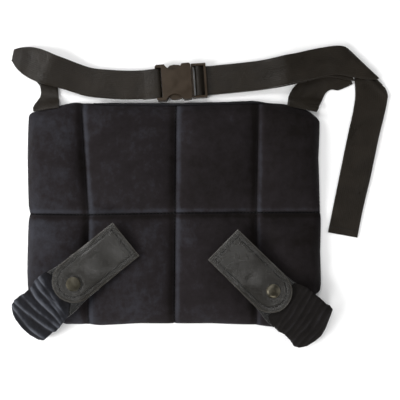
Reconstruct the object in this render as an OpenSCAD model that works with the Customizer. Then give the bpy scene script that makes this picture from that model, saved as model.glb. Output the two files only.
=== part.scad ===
// Quilted chest pad with an adjustable webbing strap, a side-release buckle and two snap-flap corner loops.
// It lies on its flat back: +Z is the thickness, +Y points to the strap side, +X to the right.
// The origin is the middle of the back face, at the crossing of the two middle quilt lines.

/* [Pad] */
// Width of the pad across its side seams
pad_w = 304; // [290:1:320]
// Lower edge of the pad, below the origin
pad_bottom = 115; // [108:1:122]
// Upper edge of the pad, above the origin
pad_top = 114; // [108:1:118]
// Thickness at the middle of a quilted cell
pad_t = 20; // [18:0.5:20]
// Height of the edge seam and of the quilt lines
seam_z = 7.5; // [5:0.5:9]
// Thickness of the velvet covers
cover_t = 1.2; // [0.8:0.1:1.6]
// Length that each lower corner is cut back, where a loop is sewn in
corner_cut = 36; // [30:1:40]
// How far the upper corners drop
corner_drop = 9; // [0:1:12]

/* [Quilting] */
// Left quilt line
quilt_left = -89; // [-100:1:-70]
// Middle quilt line
quilt_mid = 1; // [-5:1:5]
// Right quilt line
quilt_right = 85; // [70:1:100]
// Level quilt line
quilt_y = 0.5; // [-5:0.5:5]

/* [Strap] */
// Width of the strap webbing
web_w = 30; // [28:1:31]
// Thickness of the strap webbing
web_t = 1.5; // [1.2:0.1:1.6]

/* [Buckle] */
// Width of the buckle
buckle_w = 37; // [36:0.5:40]
// Height of the socket
socket_h = 10.8; // [10.4:0.1:12]

/* [Corner flaps] */
// Length of a leather flap
flap_len = 88.5; // [80:0.5:90]
// Width of a leather flap
flap_w = 43.2; // [38:0.2:44]
// Distance from the sewn end of the flap to its snap
snap_at = 68.7; // [60:0.1:70]
// Upward tilt of the flap over the loop
flap_tilt = 3; // [2.5:0.1:4]
// Diameter of the snap's cap
cap_d = 14.4; // [12:0.2:16]

/* [Corner loops] */
// Width of the leather end of a loop
loop_end_w = 47; // [44:1:48]
// Width of the gathered sleeve
sleeve_w = 52; // [46:1:54]
// Distance from the flap's sewn end to the fold of the sleeve
fold_at = 140; // [138:0.5:141]

/* [Hidden] */

velvet = [0.10, 0.10, 0.12];
foam = [0.85, 0.82, 0.70];
webbing = [0.16, 0.15, 0.13];
thread = [0.07, 0.07, 0.08];
plastic = [0.13, 0.11, 0.10];
leather = [0.12, 0.12, 0.13];
metal = [0.30, 0.30, 0.30];
elastic = [0.20, 0.20, 0.20];

// Pad: four columns and two rows of puffed cells.
column_x = [-pad_w / 2, quilt_left, quilt_mid, quilt_right, pad_w / 2];
col_steps = 6;
row_steps = 8;
cols = 4 * col_steps;
rows = 2 * row_steps;

function lerp(a, b, t) = a + (b - a) * t;
function ease(k, n) = (1 - cos(180 * k / n)) / 2;
function puff(s) = pow(1 - pow(abs(2 * s - 1), 3), 0.6);
function over(x, start) = max(0, abs(x) - start);
function low_edge(x) = -pad_bottom + over(x, pad_w / 2 - corner_cut) * 35 / 36;
function high_edge(x) = pad_top - corner_drop * pow(over(x, 104) / 46, 1.3);
function rise(s, t) = seam_z + (pad_t - seam_z) * puff(s) * puff(t);

// A point of the cover's sheet at column i and row j, drawn in by inset and lowered by drop.
function sheet_point(i, j, inset, drop) =
    let (c = min(3, floor(i / col_steps)), s = ease(i - c * col_steps, col_steps))
    let (r = min(1, floor(j / row_steps)), t = ease(j - r * row_steps, row_steps))
    let (x = lerp(column_x[c], column_x[c + 1], s))
    let (y = r == 0 ? lerp(low_edge(x), quilt_y, t) : lerp(quilt_y, high_edge(x), t))
    [x * (1 - 2 * inset / pad_w), y * (1 - inset / pad_bottom), rise(s, t) - drop];
function sheet(inset, drop) = [for (i = [0:cols]) for (j = [0:rows]) sheet_point(i, j, inset, drop)];
function at(i, j) = i * (rows + 1) + j;
rim = concat([for (i = [0:cols - 1]) at(i, 0)], [for (j = [0:rows - 1]) at(cols, j)],
             [for (i = [cols:-1:1]) at(i, rows)], [for (j = [rows:-1:1]) at(0, j)]);
function rim_ring(points, z) = [for (k = rim) [points[k][0], points[k][1], z]];

module front_cover() {
    outer = sheet(0, 0);
    inner = sheet(cover_t, cover_t);
    n = len(outer);
    m = len(rim);
    points = concat(outer, inner, rim_ring(outer, cover_t), rim_ring(inner, cover_t));
    tops = [for (i = [0:cols - 1]) for (j = [0:rows - 1]) for (h = [0, 1])
        h == 0 ? [at(i, j), at(i, j + 1), at(i + 1, j + 1)] : [at(i, j), at(i + 1, j + 1), at(i + 1, j)]];
    undersides = [for (f = tops) [n + f[2], n + f[1], n + f[0]]];
    walls = [for (k = [0:m - 1]) let (q = (k + 1) % m)
        for (f = [[rim[k], rim[q], 2 * n + q, 2 * n + k],
                  [2 * n + k, 2 * n + q, 2 * n + m + q, 2 * n + m + k],
                  [n + rim[q], n + rim[k], 2 * n + m + k, 2 * n + m + q]]) f];
    color(velvet) polyhedron(points, concat(tops, undersides, walls), convexity = 6);
}

module back_cover() {
    outline = [for (p = rim_ring(sheet(0, 0), 0)) [p[0], p[1]]];
    color(velvet) linear_extrude(cover_t) polygon(outline);
}

foam_steps = 5;
foam_gap = 1.6;
foam_clear = 0.5;

module foam_cell(c, r) {
    n = foam_steps;
    x0 = column_x[c] + foam_gap;
    x1 = column_x[c + 1] - foam_gap;
    function cell_x(i) = lerp(x0, x1, ease(i, n));
    function cell_y(x, j) = r == 0
        ? lerp(low_edge(x) + 2 * foam_gap, quilt_y - foam_gap, ease(j, n))
        : lerp(quilt_y + foam_gap, high_edge(x) - 2 * foam_gap, ease(j, n));
    top = [for (i = [0:n]) for (j = [0:n]) let (x = cell_x(i))
        [x, cell_y(x, j), rise(ease(i, n), ease(j, n)) - cover_t - foam_clear]];
    base = [for (p = top) [p[0], p[1], cover_t]];
    function c_at(i, j) = i * (n + 1) + j;
    edge = concat([for (i = [0:n - 1]) c_at(i, 0)], [for (j = [0:n - 1]) c_at(n, j)],
                  [for (i = [n:-1:1]) c_at(i, n)], [for (j = [n:-1:1]) c_at(0, j)]);
    m = len(top);
    tops = [for (i = [0:n - 1]) for (j = [0:n - 1]) for (h = [0, 1])
        h == 0 ? [c_at(i, j), c_at(i, j + 1), c_at(i + 1, j + 1)]
               : [c_at(i, j), c_at(i + 1, j + 1), c_at(i + 1, j)]];
    bottoms = [for (f = tops) [m + f[2], m + f[1], m + f[0]]];
    walls = [for (k = [0:len(edge) - 1]) let (a = edge[k], b = edge[(k + 1) % len(edge)]) [a, b, m + b, m + a]];
    polyhedron(concat(top, base), concat(tops, bottoms, walls), convexity = 4);
}

module foam_padding() {
    color(foam) for (c = [0:3]) for (r = [0:1]) foam_cell(c, r);
}

binding_t = 2.4;
binding_from = -84;
binding_to = 104;

module top_binding() {
    xs = [for (k = [0:12]) lerp(binding_from, binding_to, k / 12)];
    inside = [for (x = xs) [x, high_edge(x)]];
    outside = [for (k = [12:-1:0]) [xs[k], high_edge(xs[k]) + binding_t]];
    color(velvet) translate([0, 0, 1.5]) linear_extrude(4.5) polygon(concat(inside, outside));
}

thread_r = 0.35;

module thread_run(from, to) {
    span = to - from;
    translate(from) rotate([0, 0, atan2(span[1], span[0])]) rotate([0, 90, 0]) cylinder(h = norm(span), r = thread_r, $fn = 16);
}

module quilting_thread() {
    z = seam_z + 2 * thread_r;
    color(thread) union() {
        for (x = [quilt_left, quilt_mid, quilt_right]) thread_run([x, low_edge(x) + 1, z], [x, high_edge(x) - 1, z]);
        thread_run([-pad_w / 2 + 1, quilt_y, z], [pad_w / 2 - 1, quilt_y, z]);
    }
}

// Webbing: a flat strip swept through stations of [x, y, z, direction of its width in degrees, width].
function spot(s) = [s[0], s[1], s[2]];
function unit(v) = v / norm(v);
function strip_ring(st, k, t) =
    let (a = spot(st[max(0, k - 1)]), b = spot(st[min(len(st) - 1, k + 1)]), p = spot(st[k]))
    let (w = [cos(st[k][3]), sin(st[k][3]), 0], n = unit(cross(unit(b - a), w)))
    [for (q = [[-1, -1], [1, -1], [1, 1], [-1, 1]]) p + w * st[k][4] / 2 * q[0] + n * t / 2 * q[1]];

module strip(st, t = web_t) {
    last = len(st) - 1;
    points = [for (k = [0:last]) for (p = strip_ring(st, k, t)) p];
    sides = [for (k = [0:last - 1]) for (e = [0:3]) let (a = 4 * k + e, b = 4 * k + (e + 1) % 4)
        for (f = [[a, b, b + 4], [a, b + 4, a + 4]]) f];
    start = [for (f = [[3, 2, 1], [3, 1, 0]]) f];
    end = [for (f = [[0, 1, 2], [0, 2, 3]]) [for (v = f) 4 * last + v]];
    polyhedron(points, concat(sides, start, end), convexity = 8);
}

// The buckle's own frame: +X along the strap, towards the plug.
buckle_x = 7.4;
buckle_y = 136.9;
buckle_turn = 4;
bar_r = 1.5;
bar_z = 5.6;
plug_bar = 18;

module in_buckle() {
    translate([buckle_x, buckle_y, 0.2]) rotate([0, 0, buckle_turn]) children();
}

// A station across the buckle's axis, at distance along it and height z.
function on_buckle(along, z) =
    [buckle_x + along * cos(buckle_turn), buckle_y + along * sin(buckle_turn), z, 90 + buckle_turn, web_w];

left_root_route = [
    [-133, 112, 6.2, 8, 27], [-132, 117, 3.6, 6, 23], [-131, 122, 1.6, 0, 18],
    [-131, 129, 1.1, 4, 17], [-135, 138, 1, 30, 22], [-144, 148, 1, 54, 27],
    [-154, 156, 1, 64, 26], [-163, 161, 1.2, 68, 18],
];
left_fold_route = [[-167.4, 163, 2.1, 70, 15], [-168, 163.2, 2.9, 70, 14], [-167.4, 163, 3.7, 70, 15]];
left_band_route = [
    [-161, 161, 4.6, 68, 22], [-150, 158, 4.6, 68, 29], [-136, 152, 4.6, 68, 30], [-117, 146, 4.6, 72, 30],
    [-102, 141, 4.6, 73, 30], [-88, 137, 4.6, 77, 30], [-70, 135, 4.6, 86, 30], [-52, 134, 4.8, 91, 30],
];
left_bar_route = [
    on_buckle(-41, 5.6), on_buckle(-34, 7.4), on_buckle(-28, 8.2), on_buckle(-24.6, 8.35), on_buckle(-22.6, 7.6),
    on_buckle(-21.8, 5.8), on_buckle(-22.6, 4), on_buckle(-24.6, 3.25), on_buckle(-28, 3.3),
    on_buckle(-34, 3.4), on_buckle(-41, 3.4),
];

module left_webbing() {
    color(webbing) strip(concat(left_root_route, left_fold_route, left_band_route, left_bar_route));
}

module left_webbing_stitch() {
    color(thread) translate([buckle_x, buckle_y, 0]) rotate([0, 0, buckle_turn]) {
        for (y = [-11, 11]) translate([-39, y - 0.4, 2]) cube([6, 0.8, 0.6]);
        for (x = [-39, -33.8]) translate([x, -11, 2]) cube([0.8, 22, 0.6]);
    }
}

right_root_route = [
    [132, 113, 6, -12, 29], [134.5, 118, 3.4, -18, 30], [139, 125, 1.2, -27, 30],
    [148, 134, 1, -40, 30], [162, 144.5, 1, -48, 31], [177, 153, 1, -60, 35],
];
load_route = [
    [179, 154.6, 2.8, 121, 38], [165, 158, 2.8, 98, 31], [150, 156.6, 2.8, 105, 30], [131, 152, 2.8, 104, 30],
    [111, 147.5, 2.8, 101, 30], [90, 144.2, 2.8, 97, 30], [64, 141.4, 2.6, 95, 30], [46, 139.8, 1.6, 94, 30],
];
plug_wrap_route = [
    on_buckle(26, 1.2), on_buckle(20.4, 1.5), on_buckle(17, 1.9), on_buckle(15.2, 3.1), on_buckle(15, 5.4),
    on_buckle(16, 6.9), on_buckle(18, 7.6), on_buckle(20, 6.9), on_buckle(21.2, 5.2), on_buckle(23, 3.8),
    on_buckle(27, 3.4),
];
band_route = [
    [46, 139.8, 3.8, 94, 30], [64, 141.4, 4.5, 95, 30], [90, 144.2, 4.6, 97, 30], [111, 147.5, 4.6, 101, 30],
    [131, 152, 4.6, 104, 30], [150, 156.6, 4.6, 102, 30], [168, 159.6, 4.6, 92, 30], [184, 156.4, 4.6, 112, 37],
    [202, 149.4, 4.6, 135.4, 48],
];
tail_route = [
    [201, 148, 1, 135.4, 46], [203, 138, 1, 150, 34], [205, 121, 1, 168, 32], [198, 82, 1, 168.5, 32],
    [190, 43, 1, 168.5, 32], [182, 6, 1, 168.5, 31], [176.4, -22.5, 1, 169.7, 31],
];

module right_webbing_root() {
    color(webbing) strip(right_root_route);
}

module right_webbing_band() {
    color(webbing) strip(concat(load_route, plug_wrap_route, band_route));
}

module right_webbing_tail() {
    color(webbing) strip(tail_route);
}

hem_at = -15.6;

module tail_hem_stitch() {
    color(thread) translate([177.7, hem_at, 1 + web_t / 2]) rotate([0, 0, -10.5]) translate([-14, -0.4, 0]) cube([28, 0.8, 0.4]);
}

// Buckle: the socket is a flat box, open towards the plug, with a window in each side for a latch arm.
mouth = 10.7;
cavity_low = 2.2;
cavity_high = 8.6;
cavity_w = 31;
window_from = -16.5;
window_to = 1.5;
notch_depth = 6;
bar_edge = -23.6;
slot_w = 3.5;
web_side = 0.6;

module rounded_plate(x0, x1, w, h, r) {
    linear_extrude(h) union() {
        translate([x0 + r, -w / 2]) square([x1 - x0 - 2 * r, w]);
        translate([x0, -w / 2 + r]) square([x1 - x0, w - 2 * r]);
        for (x = [x0 + r, x1 - r]) for (y = [-w / 2 + r, w / 2 - r]) translate([x, y]) circle(r, $fn = 32);
    }
}

module buckle_socket() {
    half = (window_to - window_from) / 2;
    notch_r = (half * half + notch_depth * notch_depth) / (2 * notch_depth);
    color(plastic) in_buckle() difference() {
        rounded_plate(-26.4, mouth, buckle_w, socket_h, 2.5);
        translate([window_from - 0.5, -cavity_w / 2, cavity_low]) cube([40, cavity_w, cavity_high - cavity_low]);
        translate([window_from, -buckle_w, cavity_low])
            cube([window_to - window_from, 2 * buckle_w, cavity_high - cavity_low]);
        for (s = [-1, 1]) translate([window_from + half, s * (buckle_w / 2 + notch_r - notch_depth), -1])
            cylinder(h = socket_h + 2, r = notch_r, $fn = 64);
        translate([bar_edge, -web_w / 2 - web_side, -1]) cube([slot_w, web_w + 2 * web_side, socket_h + 2]);
        translate([bar_edge - 7, -web_w / 2 - web_side, bar_z + 1.3]) cube([7.5, web_w + 2 * web_side, 9]);
        translate([bar_edge - 7, -web_w / 2 - web_side, -1]) cube([7.5, web_w + 2 * web_side, bar_z - 0.7]);
        translate([bar_edge - 7, -web_w / 2 - web_side, -1]) cube([4.5, web_w + 2 * web_side, 14]);
    }
}

flange_from = 10.95;
flange_to = 12.6;
frame_to = 26.2;
rail_w = 2.2;

module buckle_plug() {
    color(plastic) in_buckle() union() {
        translate([flange_from, -buckle_w / 2 + 0.9, 1.8]) cube([flange_to - flange_from, buckle_w - 1.8, 7.4]);
        translate([-12, -3, 4]) cube([flange_from + 12.5, 6, 3]);
        for (s = [-1, 1]) translate([flange_to - 0.5, s * (buckle_w / 2 - 1.8) - rail_w / 2, 0.6])
            cube([frame_to - flange_to + 0.5, rail_w, 7.6]);
        translate([plug_bar, buckle_w / 2 - 1.5, 4.4]) rotate([90, 0, 0]) cylinder(h = buckle_w - 3, r = bar_r, $fn = 32);
        translate([24, -buckle_w / 2 + 1, 5.2]) cube([frame_to - 24, buckle_w - 2, 3]);
    }
}

module latch_arm() {
    translate([0, 0, 2.7]) linear_extrude(5.4) polygon([
        [flange_from - 0.3, 8], [flange_from - 0.3, 11.2], [4, 12], [1.2, 12.4], [1.2, 16.2], [-1.5, 17.6],
        [-7, 18.3], [-11, 17.4], [-14.4, 14.4], [-14.6, 11.4], [-12, 10.4], [-4, 10], [4, 9],
    ]);
}

module latch_arm_upper() {
    color(plastic) in_buckle() latch_arm();
}

module latch_arm_lower() {
    color(plastic) in_buckle() mirror([0, 1, 0]) latch_arm();
}

// Corner frames: +X runs from the flap's sewn end out over the pad's lower corner.
flap_x = [-48.2, 50];
flap_y = [-25.5, -30.9];
flap_turn = [218.9, 315.7];
flap_z = 20.4;
left = 0;
right = 1;

module at_corner(side) {
    translate([flap_x[side], flap_y[side], 0]) rotate([0, 0, flap_turn[side]]) children();
}

module on_flap(side) {
    at_corner(side) translate([0, 0, flap_z]) rotate([0, -flap_tilt, 0]) children();
}

module flap_outline(inset) {
    r = flap_w / 2;
    union() {
        translate([inset, -r + inset]) square([flap_len - r - inset, flap_w - 2 * inset]);
        translate([flap_len - r, 0]) circle(r - inset, $fn = 96);
    }
}

lining_t = 1.2;
leather_t = 1.4;
snap_y = 2;
snap_hole_r = 3.9;
seam_in = 5.4;
gap_t = 2;

module flap_layer(inset, thickness) {
    difference() {
        linear_extrude(thickness) flap_outline(inset);
        translate([snap_at, snap_y, -1]) cylinder(h = thickness + 2, r = snap_hole_r, $fn = 48);
    }
}

module flap_leather(side) {
    color(leather) on_flap(side) translate([0, 0, lining_t]) flap_layer(0, leather_t);
}

module flap_lining(side) {
    color(leather) on_flap(side) flap_layer(0.6, lining_t);
}

module flap_stitch(side) {
    color(thread) on_flap(side) translate([0, 0, lining_t + leather_t]) linear_extrude(0.35) difference() {
        flap_outline(seam_in);
        flap_outline(seam_in + 0.8);
    }
}

module snap_cap(side) {
    r = cap_d / 2;
    color(metal) on_flap(side) translate([snap_at, snap_y, lining_t + leather_t]) rotate_extrude($fn = 64)
        polygon([[0, -1], [2.9, -1], [2.9, 0], [r, 0], [r, 0.7], [0.9 * r, 1.4], [0.65 * r, 2.1], [0.3 * r, 2.5], [0, 2.6]]);
}

module snap_socket(side) {
    color(metal) on_flap(side) translate([snap_at, snap_y, 0]) rotate_extrude($fn = 64)
        polygon([[3.1, -1.4], [6, -1.4], [6, 0], [snap_hole_r - 0.1, 0], [snap_hole_r - 0.1, 1.6], [3.1, 1.6]]);
}

end_from = 48;
end_to = 94;
end_t = 1.8;
end_low = -gap_t - end_t;
rivet_r = 1.9;

module loop_end(side) {
    color(leather) on_flap(side) difference() {
        translate([end_from, -loop_end_w / 2, end_low]) cube([end_to - end_from, loop_end_w, end_t]);
        translate([snap_at, snap_y, end_low - 1]) cylinder(h = end_t + 2, r = rivet_r, $fn = 32);
    }
}

module loop_end_stitch(side) {
    color(thread) on_flap(side) for (s = [-1, 1])
        translate([end_from + 4, s * (loop_end_w / 2 - 4) - 0.4, -gap_t]) cube([end_to - end_from - 6, 0.8, 0.35]);
}

module snap_stud(side) {
    color(metal) on_flap(side) translate([snap_at, snap_y, -gap_t]) rotate_extrude($fn = 64)
        polygon([[0, 0], [5, 0], [5, 0.35], [2.1, 0.5], [2.1, 1.7], [2.6, 2.1], [2.6, 2.7], [2.1, 3.1], [0, 3.2]]);
}

module snap_rivet(side) {
    color(metal) on_flap(side) translate([snap_at, snap_y, end_low]) rotate_extrude($fn = 64)
        polygon([[0, -0.6], [5, -0.6], [5, 0], [rivet_r, 0], [rivet_r, end_t], [0, end_t]]);
}

// Sleeve: its side outline as [distance from the flap's sewn end, height].
sleeve_side = [
    [end_to + 0.4, 19.8], [104, 17.8], [116, 13.4], [128, 8.6], [fold_at - 4, 6.6], [fold_at - 0.5, 6.6],
    [fold_at + 0.5, 9], [fold_at - 2, 12.6], [130, 16.4], [116, 21], [104, 24], [end_to + 0.4, 25.4],
];
elastic_side = [
    [end_to + 0.4, 21.8], [104, 20.2], [116, 16.6], [fold_at - 7, 10.2], [fold_at - 7, 11.7], [116, 18.1],
    [104, 21.7], [end_to + 0.4, 23.3],
];
root_from = [116, 111];
sleeve_y = [2, 4];
root_side_z = [0.4, 5.6];
elastic_w = 40;

module at_sleeve(side) {
    at_corner(side) translate([0, sleeve_y[side], 0]) children();
}

module side_slab(outline, w) {
    rotate([90, 0, 0]) translate([0, 0, -w / 2]) linear_extrude(w) polygon(outline);
}

module loop_sleeve(side) {
    color(velvet) at_sleeve(side) difference() {
        side_slab(sleeve_side, sleeve_w);
        side_slab(elastic_side, elastic_w);
    }
}

module loop_elastic(side) {
    color(elastic) at_sleeve(side) side_slab(elastic_side, elastic_w);
}

module root_box(side, w, low, high) {
    at_sleeve(side) translate([root_from[side], -w / 2, low]) cube([fold_at + 0.4 - root_from[side], w, high - low]);
}

module sleeve_root(side) {
    color(velvet) difference() {
        root_box(side, sleeve_w, root_side_z[0], root_side_z[1]);
        elastic_core(side);
    }
}

module elastic_core(side) {
    at_sleeve(side) translate([root_from[side], -elastic_w / 2, 2.2]) cube([fold_at - 4 - root_from[side], elastic_w, 1.5]);
}

module elastic_root(side) {
    color(elastic) elastic_core(side);
}

front_cover();
back_cover();
foam_padding();
top_binding();
quilting_thread();
left_webbing();
left_webbing_stitch();
buckle_socket();
right_webbing_root();
right_webbing_band();
buckle_plug();
latch_arm_upper();
latch_arm_lower();
right_webbing_tail();
tail_hem_stitch();
flap_leather(left);  // flap_leather_left
flap_lining(left);  // flap_lining_left
flap_stitch(left);  // flap_stitch_left
snap_cap(left);  // snap_cap_left
snap_socket(left);  // snap_socket_left
flap_leather(right);  // flap_leather_right
flap_lining(right);  // flap_lining_right
flap_stitch(right);  // flap_stitch_right
snap_cap(right);  // snap_cap_right
snap_socket(right);  // snap_socket_right
loop_end(left);  // loop_end_left
loop_end_stitch(left);  // loop_end_stitch_left
snap_stud(left);  // snap_stud_left
snap_rivet(left);  // snap_rivet_left
loop_sleeve(left);  // loop_sleeve_left
loop_elastic(left);  // loop_elastic_left
sleeve_root(left);  // sleeve_root_left
elastic_root(left);  // elastic_root_left
loop_end(right);  // loop_end_right
loop_end_stitch(right);  // loop_end_stitch_right
snap_stud(right);  // snap_stud_right
snap_rivet(right);  // snap_rivet_right
loop_sleeve(right);  // loop_sleeve_right
loop_elastic(right);  // loop_elastic_right
sleeve_root(right);  // sleeve_root_right
elastic_root(right);  // elastic_root_right
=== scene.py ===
import math
import bpy
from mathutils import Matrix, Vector, noise


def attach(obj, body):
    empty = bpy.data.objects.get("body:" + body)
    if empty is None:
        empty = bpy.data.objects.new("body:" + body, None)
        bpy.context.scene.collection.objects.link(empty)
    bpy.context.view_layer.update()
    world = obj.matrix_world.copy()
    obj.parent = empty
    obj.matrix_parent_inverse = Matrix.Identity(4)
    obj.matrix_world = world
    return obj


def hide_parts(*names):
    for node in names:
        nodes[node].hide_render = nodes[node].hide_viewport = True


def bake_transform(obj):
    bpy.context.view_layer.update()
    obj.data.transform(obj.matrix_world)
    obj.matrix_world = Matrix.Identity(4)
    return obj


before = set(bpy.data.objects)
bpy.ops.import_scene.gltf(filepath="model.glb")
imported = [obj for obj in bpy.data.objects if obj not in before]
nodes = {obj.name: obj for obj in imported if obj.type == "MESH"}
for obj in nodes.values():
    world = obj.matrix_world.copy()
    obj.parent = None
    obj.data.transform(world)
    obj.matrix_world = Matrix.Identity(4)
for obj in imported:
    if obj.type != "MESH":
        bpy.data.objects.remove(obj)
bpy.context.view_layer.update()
mm = 0.001
scene = bpy.context.scene


def clearSelection():
    if bpy.context.object and bpy.context.object.mode != "OBJECT":
        bpy.ops.object.mode_set(mode="OBJECT")
    bpy.ops.object.select_all(action="DESELECT")


def pick(piece):
    clearSelection()
    piece.select_set(True)
    bpy.context.view_layer.objects.active = piece


def editWhole(piece, operation, **settings):
    pick(piece)
    bpy.ops.object.mode_set(mode="EDIT")
    bpy.ops.mesh.select_all(action="SELECT")
    operation(**settings)
    bpy.ops.object.mode_set(mode="OBJECT")


def clamp(value, low, high):
    return max(low, min(high, value))


def mixed(a, b, t):
    return a + (b - a) * t


def softStep(value, low, high):
    t = clamp((value - low) / (high - low), 0.0, 1.0)
    return t * t * (3 - 2 * t)


def hump(value, middle, width):
    return math.exp(-((value - middle) / width) ** 2)


def readTable(table, x):
    # straight lines between (x, value) pairs
    if x <= table[0][0]:
        return table[0][1]
    for (x0, v0), (x1, v1) in zip(table, table[1:]):
        if x <= x1:
            return mixed(v0, v1, (x - x0) / (x1 - x0))
    return table[-1][1]


def smoothTable(table, x, reach):
    return sum(readTable(table, x + reach * k / 3) for k in (-3, -2, -1, 0, 1, 2, 3)) / 7


def grain(x, y, z, size):
    return noise.noise(Vector((x / size, y / size, z / size)))


def gridPiece(name, across, along, place, flip=False):
    clearSelection()
    bpy.ops.mesh.primitive_grid_add(x_subdivisions=across, y_subdivisions=along, size=1)
    piece = bpy.context.object
    piece.name = name
    mesh = piece.data
    uvMap = mesh.uv_layers[0].data
    spots, marks = [], []
    for vertex in mesh.vertices:
        i = round((vertex.co.x + 0.5) * across)
        j = round((vertex.co.y + 0.5) * along)
        point, mark = place(i, j)
        spots += [point[0] * mm, point[1] * mm, point[2] * mm]
        marks.append(mark)
    mesh.vertices.foreach_set("co", spots)
    for loop in mesh.loops:
        uvMap[loop.index].uv = marks[loop.vertex_index]
    mesh.update()
    if flip:
        editWhole(piece, bpy.ops.mesh.flip_normals)
    return piece


def mergePoints(piece, distance):
    editWhole(piece, bpy.ops.mesh.remove_doubles, threshold=distance * mm)


def outwards(piece):
    editWhole(piece, bpy.ops.mesh.normals_make_consistent, inside=False)


def applyAll(piece):
    pick(piece)
    for modifier in list(piece.modifiers):
        bpy.ops.object.modifier_apply(modifier=modifier.name)


def thicken(piece, thickness, offset=0.0):
    solid = piece.modifiers.new("thickness", "SOLIDIFY")
    solid.thickness = thickness * mm
    solid.offset = offset
    applyAll(piece)


def roundEdges(piece, width, segments=2, angle=50):
    bevel = piece.modifiers.new("edges", "BEVEL")
    bevel.width = width * mm
    bevel.segments = segments
    bevel.limit_method = "ANGLE"
    bevel.angle_limit = math.radians(angle)
    bevel.harden_normals = False
    applyAll(piece)


def smoothLook(piece, angle=40):
    pick(piece)
    bpy.ops.object.shade_smooth_by_angle(angle=math.radians(angle))


def finishSheet(piece, thickness, edge, segments=3):
    thicken(piece, thickness)
    roundEdges(piece, edge, segments, 60)
    outwards(piece)
    smoothLook(piece, 60)


def paint(piece, material):
    piece.data.materials.clear()
    piece.data.materials.append(material)


def setShader(shader, values):
    for name, value in values.items():
        shader.inputs[name].default_value = value


def startMaterial(name, color, roughness):
    material = bpy.data.materials.new(name)
    material.use_nodes = True
    shader = material.node_tree.nodes["Principled BSDF"]
    setShader(shader, {"Base Color": (*color, 1), "Roughness": roughness})
    return material, shader


def addNode(material, kind, **values):
    node = material.node_tree.nodes.new(kind)
    for name, value in values.items():
        if name in node.inputs:
            node.inputs[name].default_value = value
        else:
            setattr(node, name, value)
    return node


def join(material, source, target):
    material.node_tree.links.new(source, target)


def objectSpots(material, scale=(1, 1, 1), turn=0.0):
    coordinate = addNode(material, "ShaderNodeTexCoord")
    # tipped, so that a flat sheet never lies along the noise's own planes
    tipped = (0.61, 0.47, math.radians(turn))
    mapping = addNode(material, "ShaderNodeMapping", Scale=scale, Rotation=tipped)
    join(material, coordinate.outputs["Object"], mapping.inputs["Vector"])
    return mapping.outputs["Vector"]


def noiseAt(material, vector, scale, detail=3.0, distortion=0.0, roughness=0.5):
    texture = addNode(material, "ShaderNodeTexNoise", Scale=scale, Detail=detail,
                      Distortion=distortion, Roughness=roughness)
    join(material, vector, texture.inputs["Vector"])
    return texture.outputs["Fac"]


def rampOf(material, source, stops):
    ramp = addNode(material, "ShaderNodeValToRGB")
    elements = ramp.color_ramp.elements
    while len(elements) < len(stops):
        elements.new(0.5)
    for element, (position, color) in zip(elements, stops):
        element.position = position
        element.color = (*color, 1) if len(color) == 3 else color
    join(material, source, ramp.inputs["Fac"])
    return ramp.outputs["Color"]


def bumpChain(material, shader, parts):
    # parts: (height output, strength, distance in metres), finest last
    normal = None
    for height, strength, distance in parts:
        bump = addNode(material, "ShaderNodeBump", Strength=strength, Distance=distance)
        join(material, height, bump.inputs["Height"])
        if normal is not None:
            join(material, normal, bump.inputs["Normal"])
        normal = bump.outputs["Normal"]
    join(material, normal, shader.inputs["Normal"])


def mathNode(material, operation, first, second=None):
    node = addNode(material, "ShaderNodeMath", operation=operation)
    for index, value in enumerate((first, second)):
        if value is None:
            continue
        if isinstance(value, (int, float)):
            node.inputs[index].default_value = value
        else:
            join(material, value, node.inputs[index])
    return node.outputs["Value"]


def plus(material, first, second):
    return mathNode(material, "ADD", first, second)


def times(material, first, second):
    return mathNode(material, "MULTIPLY", first, second)


def greys(*stops):
    return [(position, (value, value, value)) for position, value in stops]


def mapValues(material):
    # the two values of the piece's own map
    source = addNode(material, "ShaderNodeUVMap")
    split = addNode(material, "ShaderNodeSeparateXYZ")
    join(material, source.outputs["UV"], split.inputs["Vector"])
    return split.outputs["X"], split.outputs["Y"]


def shaded(material, color, shade):
    mix = addNode(material, "ShaderNodeMixRGB", blend_type="MULTIPLY", Fac=1.0)
    join(material, color, mix.inputs["Color1"])
    join(material, shade, mix.inputs["Color2"])
    return mix.outputs["Color"]


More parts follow.
